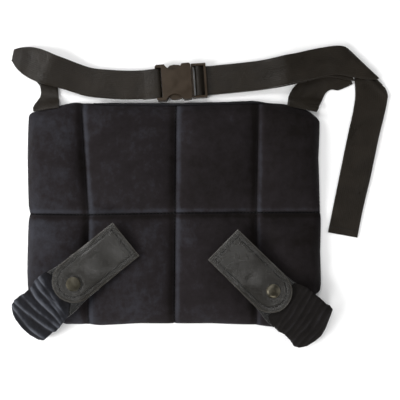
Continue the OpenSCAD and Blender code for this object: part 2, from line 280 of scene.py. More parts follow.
def velvetMaterial(name, napColors, sheen, sheenTint, lean=(0.0, 0.0), crestLight=0.0, sewn=False):
    # painted light: lean makes the colour lighter towards one side, and says how much lighter per metre, in
    # place of the light that falls from the left
    material, shader = startMaterial(name, napColors[1], 0.9)
    spots = objectSpots(material)
    clouds = noiseAt(material, spots, 13, 6.0, 0.25, 0.68)
    blotches = noiseAt(material, spots, 110, 6.0, 0.2, 0.78)
    pile = noiseAt(material, spots, 2600, 2.0, 0.3)
    brushed = noiseAt(material, objectSpots(material, (1, 0.35, 1), 30), 210, 4.0, 0.3, 0.65)
    split = addNode(material, "ShaderNodeSeparateXYZ")
    join(material, spots, split.inputs["Vector"])
    # painted light: the tone grows lighter towards the left and darker towards the right, by lean
    tilt = plus(material, times(material, split.outputs["X"], lean[0]),
                    times(material, split.outputs["Y"], lean[1]))
    tone = plus(material, times(material, clouds, 0.62), times(material, blotches, 0.38))
    tone = plus(material, tone, tilt)
    tone = plus(material, tone, times(material, brushed, 0.22))
    mapX, mapY = mapValues(material)
    # painted light: lighter on a gather's crests and darker in its hollows
    if crestLight:  # the map's first value is the height of a gather
        tone = plus(material, tone, times(material, mapX, crestLight))
    if sewn:  # painted light: the map's second value makes the colour beside a seam lighter on its right and upper side and darker on the other
        tone = plus(material, tone, times(material, mapY, 0.22))
    color = rampOf(material, tone, [(0.39, napColors[0]), (0.63, napColors[1]), (0.90, napColors[2])])
    if sewn:  # its first value is the distance from the nearest seam in centimetres
        # painted shade: the colour darkens within about a millimetre of a seam, in the seam's crease
        groove = rampOf(material, mapX, greys((0.0, 0.12), (0.045, 0.25), (0.11, 1.0)))
        color = shaded(material, color, groove)
    join(material, color, shader.inputs["Base Color"])
    join(material, rampOf(material, brushed, greys((0.3, 0.78), (0.75, 1.0))),
         shader.inputs["Roughness"])
    bumpChain(material, shader, [(clouds, 0.18, 0.0012), (blotches, 0.30, 0.0007), (brushed, 0.35, 0.0004),
                                 (pile, 0.35, 0.00025)])
    setShader(shader, {"Sheen Weight": sheen, "Sheen Roughness": 0.38, "Sheen Tint": (*sheenTint, 1),
                       "Specular IOR Level": 0.09})
    return material


def webbingMaterial():
    look = {"base": (0.0062, 0.0046, 0.0029), "light": (0.0150, 0.0115, 0.0078), "yarn": 0.95, "rib": 1.9}
    material, shader = startMaterial("webbingWeave", look["base"], 0.62)
    across, along = mapValues(material)  # in millimetres
    acrossWave = mathNode(material, "SINE", times(material, across, 2 * math.pi / look["rib"]))
    alongWave = mathNode(material, "SINE", times(material, along, 2 * math.pi / look["yarn"]))
    weave = times(material, acrossWave, alongWave)
    height = plus(material, weave, times(material, acrossWave, 0.6))
    fuzz = noiseAt(material, objectSpots(material), 900, 3.0, 0.2)
    worn = noiseAt(material, objectSpots(material), 45, 3.0, 0.8)
    tone = plus(material, times(material, height, 0.16), times(material, worn, 0.9))
    join(material, rampOf(material, tone, [(0.2, look["base"]), (0.8, look["light"])]),
         shader.inputs["Base Color"])
    join(material, rampOf(material, worn, greys((0.3, 0.27), (0.75, 0.38))), shader.inputs["Roughness"])
    bumpChain(material, shader, [(worn, 0.5, 0.0022), (height, 0.26, 0.00022), (fuzz, 0.25, 0.0002)])
    setShader(shader, {"Sheen Weight": 0.06, "Sheen Roughness": 0.5, "Sheen Tint": (0.75, 0.68, 0.60, 1),
                       "Specular IOR Level": 0.17})
    return material


def leatherMaterial(name, dark, light):
    material, shader = startMaterial(name, light, 0.42)
    spots = objectSpots(material)
    cells = addNode(material, "ShaderNodeTexVoronoi", feature="DISTANCE_TO_EDGE", Scale=520)
    join(material, spots, cells.inputs["Vector"])
    creases = rampOf(material, cells.outputs["Distance"], greys((0.0, 0), (0.16, 1)))
    pores = noiseAt(material, spots, 800, 2.0, 0.4)
    wear = noiseAt(material, spots, 38, 4.0, 0.7)
    # the map's first value is the distance from the cut edge in centimetres: a painted highlight along the
    # rim, painted shade in the sewn groove
    edgeGap = mapValues(material)[0]
    rimLightAndGrooveShadeStops = greys((0.0, 1.0), (0.07, 0.62), (0.14, 0.30), (0.46, 0.30), (0.54, 0.08), (0.62, 0.30))
    rimLightAndGrooveShade = rampOf(material, edgeGap, rimLightAndGrooveShadeStops)
    gain = 3.3  # the rim's stops hold the plain leather at 0.30
    tone = rampOf(material, wear, [(0.35, tuple(c * gain for c in dark)),
                                   (0.75, tuple(c * gain for c in light))])
    join(material, shaded(material, tone, rimLightAndGrooveShade), shader.inputs["Base Color"])
    join(material, rampOf(material, wear, greys((0.3, 0.21), (0.8, 0.31))), shader.inputs["Roughness"])
    bumpChain(material, shader, [(wear, 0.2, 0.0010), (creases, 0.4, 0.00014), (pores, 0.25, 0.00006)])
    setShader(shader, {"Specular IOR Level": 0.45, "Coat Weight": 0.10, "Coat Roughness": 0.22})
    return material


def plasticMaterial():
    material, shader = startMaterial("mouldedPlastic", (0.030, 0.024, 0.020), 0.38)
    spots = objectSpots(material)
    sparks = noiseAt(material, spots, 1800, 2.0, 0.0)
    rubbed = noiseAt(material, spots, 90, 4.0, 0.6)
    join(material, rampOf(material, rubbed, [(0.3, (0.0185, 0.0112, 0.0052)),
                                             (0.8, (0.030, 0.0190, 0.0098))]),
         shader.inputs["Base Color"])
    join(material, rampOf(material, rubbed, greys((0.3, 0.30), (0.8, 0.46))), shader.inputs["Roughness"])
    bumpChain(material, shader, [(rubbed, 0.08, 0.0006), (sparks, 0.22, 0.00008)])
    setShader(shader, {"Specular IOR Level": 0.26})
    return material


def metalMaterial():
    material, shader = startMaterial("darkSnapMetal", (0.10, 0.09, 0.075), 0.30)
    setShader(shader, {"Metallic": 1.0})
    spots = objectSpots(material)
    scuffs = noiseAt(material, spots, 150, 4.0, 0.5)
    brushed = noiseAt(material, objectSpots(material, (1, 0.12, 1), 25), 1500, 2.0)
    join(material, rampOf(material, scuffs, [(0.35, (0.046, 0.041, 0.029)), (0.8, (0.082, 0.076, 0.060))]),
         shader.inputs["Base Color"])
    join(material, rampOf(material, scuffs, greys((0.3, 0.34), (0.8, 0.44))), shader.inputs["Roughness"])
    bumpChain(material, shader, [(brushed, 0.06, 0.00004)])
    return material


def threadMaterial(name, color):
    material, shader = startMaterial(name, color, 0.55)
    spots = objectSpots(material)
    twist = noiseAt(material, spots, 2400, 2.0, 0.5)
    join(material, rampOf(material, twist, [(0.3, tuple(c * 0.6 for c in color)),
                                            (0.8, tuple(c * 1.7 for c in color))]),
         shader.inputs["Base Color"])
    bumpChain(material, shader, [(twist, 0.4, 0.0001)])
    setShader(shader, {"Specular IOR Level": 0.15, "Sheen Weight": 0.02})
    return material


print("materials")
# the pad's velvet has painted light: lighter towards the left
velvet = velvetMaterial("blackVelvet", [(0.0042, 0.0030, 0.0026), (0.0115, 0.0094, 0.0104),
                                        (0.030, 0.031, 0.038)],
                        0.045, (0.80, 0.76, 0.84), (-0.95, 0.05), sewn=True)
backVelvet = velvetMaterial("backVelvet", [(0.005, 0.004, 0.004), (0.010, 0.0095, 0.0105),
                                           (0.020, 0.020, 0.024)],
                            0.10, (0.72, 0.74, 0.86))
# painted light: the left sleeve's copy of the velvet is lighter with more sheen, as lit, the right's is
# darker, as in shade
sleeveVelvets = {
    "left": velvetMaterial("litSleeveVelvet", [(0.0030, 0.0028, 0.0034), (0.0115, 0.0120, 0.0150),
                                           (0.062, 0.066, 0.078)],
                           0.12, (0.82, 0.84, 0.90), (0.0, 0.0), 0.52),
    "right": velvetMaterial("shadedSleeveVelvet", [(0.0030, 0.0025, 0.0022), (0.0082, 0.0070, 0.0066),
                                           (0.0180, 0.0170, 0.0190)],
                            0.04, (0.80, 0.74, 0.74), (0.0, 0.0), 0.22),
}
webbing = webbingMaterial()
leather = leatherMaterial("grainedLeather", (0.0085, 0.0074, 0.0056), (0.0175, 0.0165, 0.0145))
# painted shade: a darker copy of the leather for the loop ends that lie in shade under the flaps
shadedLeather = leatherMaterial("shadedUnderLeather", (0.0035, 0.0033, 0.0030), (0.0080, 0.0078, 0.0075))
plastic = plasticMaterial()
metal = metalMaterial()
thread = threadMaterial("blackThread", (0.004, 0.004, 0.0045))


# rims: how far out and how high each ring of the edge lies, outermost first; lines: place and lean
pad = {
    "columns": 160, "rows": 116, "wall": 3,
    "width": 152.0, "seamHeight": 7.4, "rimHeight": 5.2, "puff": 12.2,
    "rims": [(-0.4, 1.15), (1.0, 1.9), (1.1, 3.4)], "rimRings": 6, "scallops": (1.3, 1.2),
    "lines": [(-89, -0.062), (1, 0.008), (85, 0.018)],
    "topEdge": [(-152, 101), (-147.5, 105.5), (-118, 110.8), (-104.5, 114.2), (-95, 115.4), (-85, 114.8),
                (-66, 113.2),
                (-14, 112.8), (26, 113.4), (86, 115.4), (117, 113.2), (146, 106), (152, 97)],
    "lowEdge": [(-152, -79.5), (-116, -114.2), (-89, -114.8), (-80, -116.0), (-36, -113.4), (0, -114.2),
                (38, -113.4),
                (83, -115.4), (104, -117.5), (112, -116.6), (152, -80)],
    "rightEdge": [(-84, 151.7), (-73, 152.4), (-39, 151.2), (-4, 152.4), (14, 151.0), (58, 149.4),
                  (96, 151.4), (106, 148)],
    "leftEdge": [(-80, -152.4), (-60, -152.6), (-8, -151.6), (0, -150.4), (8, -151.6), (60, -152.2),
                 (101, -151.8)],
    "level": [(-152, -0.4), (-89, -1.2), (1, 0.7), (152, 1.5)],
}


def quiltLines(y):
    # the outer lines lean only above the level seam
    heights = (max(0.0, y), y, max(0.0, y))
    lines = [x + lean * height for (x, lean), height in zip(pad["lines"], heights)]
    return [readTable(pad["leftEdge"], y), *lines, readTable(pad["rightEdge"], y)]


def puffShape(s, sharp=2.35, lift=0.66):
    return max(0.0, 1 - abs(2 * s - 1) ** sharp) ** lift


def crowded(t):
    # the mesh lines gather towards the seams
    return (1 - math.cos(math.pi * t)) / 2 * 0.35 + t * 0.65


def seamShadeAndLight(x, y):
    # distance to the nearest seam, for painted shade along it, and painted light beside it: lighter on its
    # right and upper side, darker on the other
    beside = [x - line for line in quiltLines(y)[1:4]]
    above = y - readTable(pad["level"], x)
    nearest = min([abs(gap) for gap in beside] + [abs(above)])
    # painted highlight on the right and upper side of each seam, painted shade on the other
    brushed = sum(hump(gap, 3.0, 2.6) - 0.8 * hump(gap, -3.6, 3.0) for gap in beside)
    brushed += 0.7 * (hump(above, 2.8, 2.2) - hump(above, -3.2, 2.6))
    return min(nearest, 12) / 10, brushed


def padSpot(i, j):
    wall = pad["wall"]
    nx, ny = pad["columns"], pad["rows"]
    ci, cj = clamp(i, wall, nx - wall), clamp(j, wall, ny - wall)
    u = (ci - wall) / (nx - 2 * wall) * 4
    v = (cj - wall) / (ny - 2 * wall) * 2
    column, row = min(3, int(u)), min(1, int(v))
    s, t = crowded(u - column), crowded(v - row)
    straight = quiltLines(0)
    x = mixed(straight[column], straight[column + 1], s)
    levelY = readTable(pad["level"], x)
    lowY = smoothTable(pad["lowEdge"], x, 5)
    highY = smoothTable(pad["topEdge"], x, 4)
    y = mixed(lowY, levelY, t) if row == 0 else mixed(levelY, highY, t)
    lines = quiltLines(y)
    x = mixed(lines[column], lines[column + 1], s)
    size = 0.93 + 0.07 * grain(column * 3.1, row * 5.7, 2.2, 1.3)
    dome = puffShape(s) * puffShape(t)
    edge = 1.0
    for value in ((ci - wall), (nx - wall - ci), (cj - wall), (ny - wall - cj)):
        edge = min(edge, value / pad["rimRings"])
    base = mixed(pad["rimHeight"], pad["seamHeight"], clamp(edge, 0, 1))
    z = base + pad["puff"] * size * dome
    # pillow edges scallop a little between the quilt lines
    pull = pad["scallops"][0] * (1 - puffShape(t, 2.0, 0.4)) if ci in (wall, nx - wall) else 0
    pullY = pad["scallops"][1] * (1 - puffShape(s, 2.0, 0.4)) if cj in (wall, ny - wall) else 0
    x -= math.copysign(pull, x)
    y -= math.copysign(pullY, y)
    ring = min(i, nx - i, j, ny - j)
    if ring < wall:
        outX = (i > nx - wall) - (i < wall)
        outY = (j > ny - wall) - (j < wall)
        length = math.hypot(outX, outY) or 1
        out, z = pad["rims"][ring]
        x += outX / length * out
        y += outY / length * out
    return (x, y, z), seamShadeAndLight(x, y)


swelling = {"frames": 16, "reach": 4.0}
clothSettings = {
    "quality": 5, "mass": 0.25, "tension_stiffness": 9, "compression_stiffness": 9, "shear_stiffness": 4.5,
    "bending_stiffness": 0.25, "use_pressure": True, "uniform_pressure_force": 2.0, "shrink_min": -0.045,
    "vertex_group_mass": "sewn",
}


def settleCloth(piece, pinned):
    # the padded cloth swells between its sewn lines; nothing else moves
    pick(piece)
    start = [v.co.copy() for v in piece.data.vertices]
    group = piece.vertex_groups.new(name="sewn")
    group.add(pinned, 1.0, "REPLACE")
    cloth = piece.modifiers.new("cloth", "CLOTH")
    for name, value in clothSettings.items():
        setattr(cloth.settings, name, value)
    cloth.settings.effector_weights.gravity = 0
    cloth.collision_settings.use_self_collision = False
    cloth.point_cache.frame_start = 1
    cloth.point_cache.frame_end = swelling["frames"]
    for step in range(1, swelling["frames"] + 1):
        scene.frame_set(step)
    pick(piece)
    bpy.ops.object.modifier_apply(modifier="cloth")
    scene.frame_set(1)
    for vertex, before in zip(piece.data.vertices, start):
        move = vertex.co - before
        if move.length > swelling["reach"] * mm:
            vertex.co = before + move.normalized() * swelling["reach"] * mm
    piece.vertex_groups.clear()


def buildPad():
    nx, ny, wall = pad["columns"], pad["rows"], pad["wall"]
    piece = gridPiece("quiltedPad", nx, ny, padSpot)
    pinned = []
    perCell, perRow = (nx - 2 * wall) / 4, (ny - 2 * wall) / 2
    for index in range(len(piece.data.vertices)):
        i = index % (nx + 1)
        j = index // (nx + 1)
        gapX = min(abs((i - wall) - perCell * k) for k in range(5))
        gapY = min(abs((j - wall) - perRow * k) for k in range(3))
        ring = min(i, nx - i, j, ny - j)
        if ring <= wall or gapX < 0.75 or gapY < 0.75:
            pinned.append(index)
    settleCloth(piece, pinned)
    for vertex in piece.data.vertices:
        x, y, z = (c / mm for c in vertex.co)
        if z > 6:
            wander = 0.5 * grain(x, y, 3, 21) + 0.22 * grain(x, y, 8, 8)
            z = min(19.9, z + wander * softStep(z, 8, 12))
        vertex.co = (x * mm, y * mm, z * mm)
    thicken(piece, 1.0, -1)
    smoothLook(piece, 80)
    paint(piece, velvet)
    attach(piece, "pad")
    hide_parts("front_cover", "foam_padding")


print("pad")
buildPad()


def buildBack():
    nx, ny = 80, 60
    back = {"half": 151, "inset": 0.9, "height": 0.65, "dent": 0.35, "dentWidth": 1.6, "thickness": 1.1}

    def spot(i, j):
        x = mixed(-back["half"], back["half"], i / nx)
        lowY = smoothTable(pad["lowEdge"], x, 5) + back["inset"]
        highY = smoothTable(pad["topEdge"], x, 4) - back["inset"]
        y = mixed(lowY, highY, j / ny)
        gaps = [x - line for line in quiltLines(y)[1:4]] + [y - readTable(pad["level"], x)]
        dent = max(hump(gap, 0, back["dentWidth"]) for gap in gaps)
        return (x, y, back["height"] + back["dent"] * dent), (x, y)

    piece = gridPiece("backPanel", nx, ny, spot)
    thicken(piece, back["thickness"])
    roundEdges(piece, 0.4)
    smoothLook(piece, 60)
    paint(piece, backVelvet)
    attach(piece, "pad")
    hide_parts("back_cover")


print("back panel")
buildBack()


def buildBinding():
    across, along = 8, 110
    hem = {"from": -84.0, "to": 104.0, "out": 2.5, "low": 1.4, "high": 7.0}

    def spot(i, j):
        x = mixed(hem["from"], hem["to"], j / along)
        y = smoothTable(pad["topEdge"], x, 4)
        turn = math.pi * i / across
        out = math.sin(turn)
        ripple = 0.25 * grain(x, 0, 4, 7)
        z = mixed(hem["high"], hem["low"], (1 - math.cos(turn)) / 2)
        taper = softStep(x, hem["from"], hem["from"] + 22) * (1 - softStep(x, hem["to"] - 26, hem["to"]))
        return (x, y + (hem["out"] * mixed(0.25, 1, taper) + ripple) * out - 0.5, z + ripple), (i, x)

    piece = gridPiece("topHem", across, along, spot, True)
    thicken(piece, 0.8)
    roundEdges(piece, 0.3)
    outwards(piece)
    smoothLook(piece, 60)
    paint(piece, backVelvet)
    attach(piece, "pad")
    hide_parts("top_binding")


print("hem")
buildBinding()


def makeStitch(length, radius):
    clearSelection()
    bpy.ops.mesh.primitive_uv_sphere_add(segments=8, ring_count=6, radius=0.5)
    stitch = bpy.context.object
    editWhole(stitch, bpy.ops.transform.resize, value=(length * mm, 2 * radius * mm, 2 * radius * mm))
    return stitch


def stitchRow(name, path, stitch):
    # path: (point, direction) pairs; each stitch is a copy of one modelled stitch
    model = makeStitch(stitch["length"], stitch["radius"])
    shape = [v.co.copy() for v in model.data.vertices]
    faces = [list(p.vertices) for p in model.data.polygons]
    bpy.data.objects.remove(model, do_unlink=True)
    points, allFaces = [], []
    for number, (where, direction) in enumerate(path):
        forward = Vector(direction).normalized()
        side = Vector((-forward.y, forward.x, 0)).normalized()
        up = forward.cross(side)
        first = len(points)
        lean = 0.10 * (1 if number % 2 else -1)
        for co in shape:
            bent = co.z - abs(co.x) * 0.18
            points.append(Vector(where) * mm + forward * co.x + side * (co.y + co.x * lean) + up * bent)
        allFaces += [[first + v for v in face] for face in faces]
    mesh = bpy.data.meshes.new(name)
    mesh.from_pydata(points, [], allFaces)
    piece = bpy.data.objects.new(name, mesh)
    scene.collection.objects.link(piece)
    outwards(piece)
    smoothLook(piece, 80)
    paint(piece, thread)
    return piece


def walk(points, pitch, start=0.0):
    # evenly spaced (point, direction) pairs along a polyline in millimetres
    found, left = [], start
    for a, b in zip(points, points[1:]):
        a, b = Vector(a), Vector(b)
        length = (b - a).length
        if length < 1e-6:
            continue
        while left <= length:
            found.append((a + (b - a) * (left / length), (b - a) / length))
            left += pitch
        left -= length
    return found


def buildQuiltStitches():
    rows = []
    height, pitch = pad["seamHeight"] + 0.05, 3.6
    levels = [mixed(-112, 111, k / 40) for k in range(41)]
    for number in (1, 2, 3):
        rows += walk([(quiltLines(y)[number], y, height) for y in levels], pitch)
    rows += walk([(x, readTable(pad["level"], x), height) for x in range(-148, 149, 4)], pitch)
    piece = stitchRow("quiltStitches", rows, {"length": 2.6, "radius": 0.32})
    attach(piece, "pad")
    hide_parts("quilting_thread")


print("quilt stitches")
buildQuiltStitches()


def curveValue(a, b, c, d, t):
    # a smooth curve through b and c
    square, cube = 2 * a - 5 * b + 4 * c - d, 3 * b - a - 3 * c + d
    return 0.5 * (2 * b + (c - a) * t + square * t * t + cube * t ** 3)


def finePath(stations, step=1.6):
    # stations: [x, y, z, direction of the width in degrees, width]
    result = []
    for k in range(len(stations) - 1):
        a = stations[max(0, k - 1)]
        b, c = stations[k], stations[k + 1]
        d = stations[min(len(stations) - 1, k + 2)]
        length = math.dist(b[:3], c[:3])
        count = max(2, int(length / step))
        for n in range(count):
            t = n / count
            result.append([curveValue(a[q], b[q], c[q], d[q], t) for q in range(5)])
    result.append(list(stations[-1]))
    return result


def ribbonPiece(name, stations, strap, wrinkle=None):
    path = finePath(stations, strap["step"])
    across, along = strap["across"], len(path) - 1
    travelled = [0.0]
    for a, b in zip(path, path[1:]):
        travelled.append(travelled[-1] + math.dist(a[:3], b[:3]))

    def spot(i, j):
        x, y, z, turn, width = path[j]
        w = math.radians(turn)
        side = i / across - 0.5
        before, after = path[max(0, j - 1)], path[min(along, j + 1)]
        forward = Vector([after[q] - before[q] for q in range(3)])
        sideways = Vector((math.cos(w), math.sin(w), 0))
        up = forward.cross(sideways)
        up = up.normalized() if up.length > 1e-9 else Vector((0, 0, 1))
        point = Vector((x, y, z)) + sideways * width * side
        if wrinkle:
            point += wrinkle(travelled[j], side, up, point)
        return tuple(point), (side * strap["mapWidth"] + strap["mapWidth"] / 2, travelled[j])

    piece = gridPiece(name, across, along, spot)
    finishSheet(piece, strap["thickness"], 0.45, 2)
    paint(piece, webbing)
    return piece


strap = {"step": 1.7, "across": 12, "thickness": 1.35, "mapWidth": 30}
buckleSpot = {"x": 7.4, "y": 136.9, "turn": 4.0}


def onBuckle(along, z, width=30.0, sideways=0.0):
    t = math.radians(buckleSpot["turn"])
    return [buckleSpot["x"] + along * math.cos(t) - sideways * math.sin(t),
            buckleSpot["y"] + along * math.sin(t) + sideways * math.cos(t), z, 90 + buckleSpot["turn"], width]


def leftStrap():
    route = [
        [-132.5, 108, 8.4, 8, 27], [-133, 112, 7.0, 8, 27], [-132, 117, 4.2, 6, 24], [-131, 122, 2.0, 0, 19],
        [-131, 129, 1.2, 4, 18], [-132.6, 136.5, 1.1, 14, 18], [-137.4, 145, 1.1, 45, 20],
        [-146, 151.8, 1.1, 58, 21],
        [-155.6, 158, 1.2, 67, 19], [-163, 163, 1.4, 73, 15], [-167.2, 165, 2.1, 78, 12.6],
        [-168.2, 165.2, 3.2, 78, 12.4],
        [-167.2, 165, 4.3, 76, 13.6], [-161, 162.8, 5.0, 69, 22.4], [-153, 159.6, 5.0, 68, 29.6],
        [-145, 156, 6.6, 68, 32.6],
        [-137, 152.4, 9.8, 67, 33.2], [-129, 149.3, 10.6, 69, 32.2], [-117, 145.8, 8.4, 71, 31],
        [-102, 141, 5.6, 74, 30], [-88, 137, 4.6, 78, 30], [-70, 135, 4.6, 86, 30], [-52, 134, 4.8, 91, 30],
        onBuckle(-41, 5.6), onBuckle(-34, 7.0), onBuckle(-28, 8.2), onBuckle(-24.2, 8.4),
        onBuckle(-22.3, 7.7),
        onBuckle(-21.5, 5.8), onBuckle(-22.4, 4), onBuckle(-24.6, 3.25), onBuckle(-28, 3.3),
        onBuckle(-34, 3.4), onBuckle(-41, 3.4),
    ]

    def wrinkle(distance, side, up, point):
        lift = 1.3 * hump(distance, 92, 6) * (0.5 - side) + 0.25 * grain(distance, side * 20, 5, 14)
        return Vector((0, 0, lift))

    piece = ribbonPiece("leftStrap", route, strap, wrinkle)
    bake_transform(piece)
    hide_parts("left_webbing")


print("left strap")
leftStrap()


def rightRoot():
    route = [
        [132.4, 108.5, 8.2, -12, 31.4], [134, 113, 7.2, -12, 33], [135.4, 117.8, 4.2, -18, 33.6],
        [139.8, 125.3, 1.6, -27, 32.6],
        [147.5, 134.3, 1.0, -36, 27.4], [155, 139.8, 0.9, -46, 27.6], [162, 144.5, 0.9, -58, 36],
        [172, 150.6, 0.9, -63, 40], [178.5, 152.8, 0.9, -63, 38],
    ]

    def wrinkle(distance, side, up, point):
        ridge = 1.3 * hump(point.y + point.x * 0.02, 119.8, 2.2) + 0.4 * hump(point.y, 115.5, 3)
        ridge *= 1 - 0.8 * (2 * side) ** 4
        return Vector((0, 0, ridge + 0.15 * grain(distance, side * 20, 9, 12)))

    piece = ribbonPiece("rightStrapRoot", route, {**strap, "step": 1.0}, wrinkle)
    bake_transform(piece)
    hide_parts("right_webbing_root")


print("right strap root")
rightRoot()


def rightBand():
    route = [
        [179, 154.6, 2.8, 121, 37], [165, 158, 2.8, 98, 31], [150, 156.6, 2.8, 105, 30],
        [131, 152, 2.8, 104, 30],
        [111, 147.5, 2.8, 101, 30], [90, 144.2, 2.8, 97, 30], [64, 141.4, 2.6, 95, 30],
        [46, 139.8, 1.6, 94, 30],
        onBuckle(26, 1.2), onBuckle(20.4, 1.5), onBuckle(17, 1.9), onBuckle(15.2, 3.1), onBuckle(15, 5.4),
        onBuckle(16, 6.9), onBuckle(18, 7.6), onBuckle(20, 6.9), onBuckle(21.2, 5.2), onBuckle(23, 3.8),
        onBuckle(27, 3.5),
        [46, 139.8, 3.9, 94, 30], [64, 141.4, 4.6, 95, 30], [82, 143.3, 4.9, 96, 30], [96, 145, 6.6, 98, 30],
        [109, 147.1, 10.2, 101, 30], [118, 149.1, 11.0, 102, 30], [131, 152, 8.6, 104, 30],
        [150, 156.6, 6.8, 102, 30],
        [168, 159.6, 6.2, 94, 30], [184, 157.7, 5.2, 113, 35.4],
        [195.2, 156.0, 4.6, 136.2, 45.6], [196.4, 157.2, 3.7, 136.2, 45], [196.6, 157.4, 2.8, 136.2, 44.4],
    ]

    def wrinkle(distance, side, up, point):
        if point.z < 3.4 or point.x < 50:
            return Vector((0, 0, 0))
        along = 0.9 * hump(point.x, 150, 10) * (0.5 - side)
        along += 0.35 * grain(point.x, point.y, 5, 16) * softStep(point.x, 60, 90)
        edge = 0.7 * hump(point.x, 163, 14) * softStep(-side, 0.25, 0.5)
        return Vector((0, 0, along + edge))

    piece = ribbonPiece("rightBand", route, strap, wrinkle)
    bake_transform(piece)
    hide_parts("right_webbing_band")


print("right band")
rightBand()


def strapTail():
    route = [
        [202.6, 150.2, 1.9, 135.4, 44.5], [201.4, 148.4, 1.1, 136.5, 44.5], [204.6, 139.5, 1, 152, 38],
        [206.4, 123, 1.2, 168, 34.2],
        [203.2, 104, 1.6, 168.5, 32.6], [198, 82, 1.9, 168.5, 32], [190, 43, 1.6, 168.5, 32],
        [182, 6, 1.2, 168.5, 31],
        [176.4, -22.5, 1.0, 169.7, 31],
    ]

    def wrinkle(distance, side, up, point):
        crease = 1.5 * hump((point.x + point.y - 345) / 1.414, 0, 2.2) * softStep(point.y, 116, 124)
        return Vector((0, 0, crease + 0.3 * grain(distance, side * 14, 2, 22)))

    piece = ribbonPiece("strapTail", route, strap, wrinkle)
    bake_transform(piece)
    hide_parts("right_webbing_tail")


print("strap tail")
strapTail()


def strapStitches():
    box = {"start": -41, "end": -36.5, "half": 11, "height": 2.35, "pitch": 2.6}
    lines = [[onBuckle(box["start"] + k * 0.5, box["height"], 0, y)[:3] for k in range(11)]
             for y in (-box["half"], box["half"])]
    lines += [[onBuckle(x, box["height"], 0, y)[:3] for y in range(-box["half"], box["half"] + 1)]
              for x in (box["start"], box["end"])]
    rows = [spot for line in lines for spot in walk(line, box["pitch"])]
    under = stitchRow("barTackStitches", rows, {"length": 2.0, "radius": 0.3})
    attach(under, "strap")
    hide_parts("left_webbing_stitch")

    hem = {"x": 177.62, "y": -15.7, "height": 1.85, "turn": -10.3, "half": 14, "pitch": 2.8}
    t = math.radians(hem["turn"])
    line = [(hem["x"] + k * math.cos(t), hem["y"] + k * math.sin(t), hem["height"])
            for k in range(-hem["half"], hem["half"] + 1)]
    top = stitchRow("tailHemStitches", walk(line, hem["pitch"]), {"length": 2.2, "radius": 0.3})
    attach(top, "tail")
    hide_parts("tail_hem_stitch")


print("strap stitches")
strapStitches()


def mouldedCopy(node, name, edge):
    # a merged copy of the frame's solid with its edges rounded as a moulding's are
    source = nodes[node]
    piece = bpy.data.objects.new(name, source.data.copy())
    scene.collection.objects.link(piece)
    mergePoints(piece, 0.01)
    editWhole(piece, bpy.ops.mesh.dissolve_limited, angle_limit=math.radians(3))
    roundEdges(piece, edge, 3, 35)
    outwards(piece)
    smoothLook(piece, 35)
    weighted = piece.modifiers.new("flatFaces", "WEIGHTED_NORMAL")
    weighted.keep_sharp = True
    weighted.weight = 80
    applyAll(piece)
    return piece


def buildBuckle():
    for node, name, edge, body in (
        ("buckle_socket", "buckleSocket", 0.7, "strap"), ("buckle_plug", "bucklePlug", 0.45, "plug"),
        ("latch_arm_upper", "latchArmUpper", 0.7, "latch_upper"),
        ("latch_arm_lower", "latchArmLower", 0.7, "latch_lower"),
    ):
        piece = mouldedCopy(node, name, edge)
        paint(piece, plastic)
        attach(piece, body)
        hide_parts(node)


print("buckle")
buildBuckle()


flap = {"length": 88.5, "width": 43.2, "height": 20.4, "tilt": 3.0, "lining": 1.2, "leather": 1.4,
        "seam": 5.4, "pitch": 3.6, "snapAt": 68.7, "snapY": 2.0, "bends": (-1.0, 13.0)}
corners = {
    "left": {"x": -48.2, "y": -25.5, "turn": 218.9},
    "right": {"x": 50.0, "y": -30.9, "turn": 315.7},
}


def atCorner(side, x, y, z):
    corner = corners[side]
    t = math.radians(corner["turn"])
    c, s = math.cos(t), math.sin(t)
    return (corner["x"] + x * c - y * s, corner["y"] + x * s + y * c, z)


def onFlap(side, x, y, z):
    t = math.radians(flap["tilt"])
    c, s = math.cos(t), math.sin(t)
    return atCorner(side, x * c - z * s, y, flap["height"] + x * s + z * c)


def flapHalfWidth(x, inset=0.0):
    r = flap["width"] / 2
    start = flap["length"] - r
    if x <= start:
        return r - inset
    return math.sqrt(max(0.0, (r - inset) ** 2 - (x - start) ** 2))


lie = {"dimple": 0.45, "dimpleRadius": 8.6, "roll": 0.55, "sewn": 0.5, "bow": 1.5, "bowAt": 46, "wave": 0.45}


def flapRise(x, y):
    # thin leather: the sewn end lies down, the edges roll a little and the snap sits in a dimple
    far = math.hypot(x - flap["snapAt"], y - flap["snapY"])
    aside = abs(y) / (flap["width"] / 2)
    dimple = -lie["dimple"] * hump(far, lie["dimpleRadius"], 2.4)
    roll = -lie["roll"] * aside ** 3
    sewn = -lie["sewn"] * hump(x, 0, 3.5)
    bow = lie["bow"] * hump(x, lie["bowAt"], 17) * (1 - 0.6 * aside ** 2)
    wave = lie["wave"] * grain(x, y, 4.0, 17) * softStep(flap["length"] - x, 2, 14)
    return dimple + roll + sewn + bow + wave


def flapSheet(side, name, inset, low, thickness):
    across, along = 32, 64
    r = flap["width"] / 2
    straight = flap["length"] - r

    def spot(i, j):
        t = j / along
        if t < 0.62:
            x = mixed(inset, straight, t / 0.62)
        else:
            turn = (t - 0.62) / 0.38 * math.pi / 2
            x = straight + (r - inset) * math.sin(turn)
        half = flapHalfWidth(x, inset)
        s = 2 * i / across - 1
        y = s * half
        inside = min(half - abs(y) + inset, x)
        if x > straight:
            inside = r - math.hypot(x - straight, y)
        groove = -0.28 * hump(inside, flap["seam"], 0.9) if low > 1 else 0
        z = low + thickness / 2 + flapRise(x, y) + groove
        return onFlap(side, x, y, z), (clamp(inside, 0, 12) / 10, x / 10)

    piece = gridPiece(name, across, along, spot, True)
    mergePoints(piece, 0.02)
    outwards(piece)
    finishSheet(piece, thickness, 0.4)
    paint(piece, leather)
    return piece


def flapBlend(piece):
    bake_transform(piece)


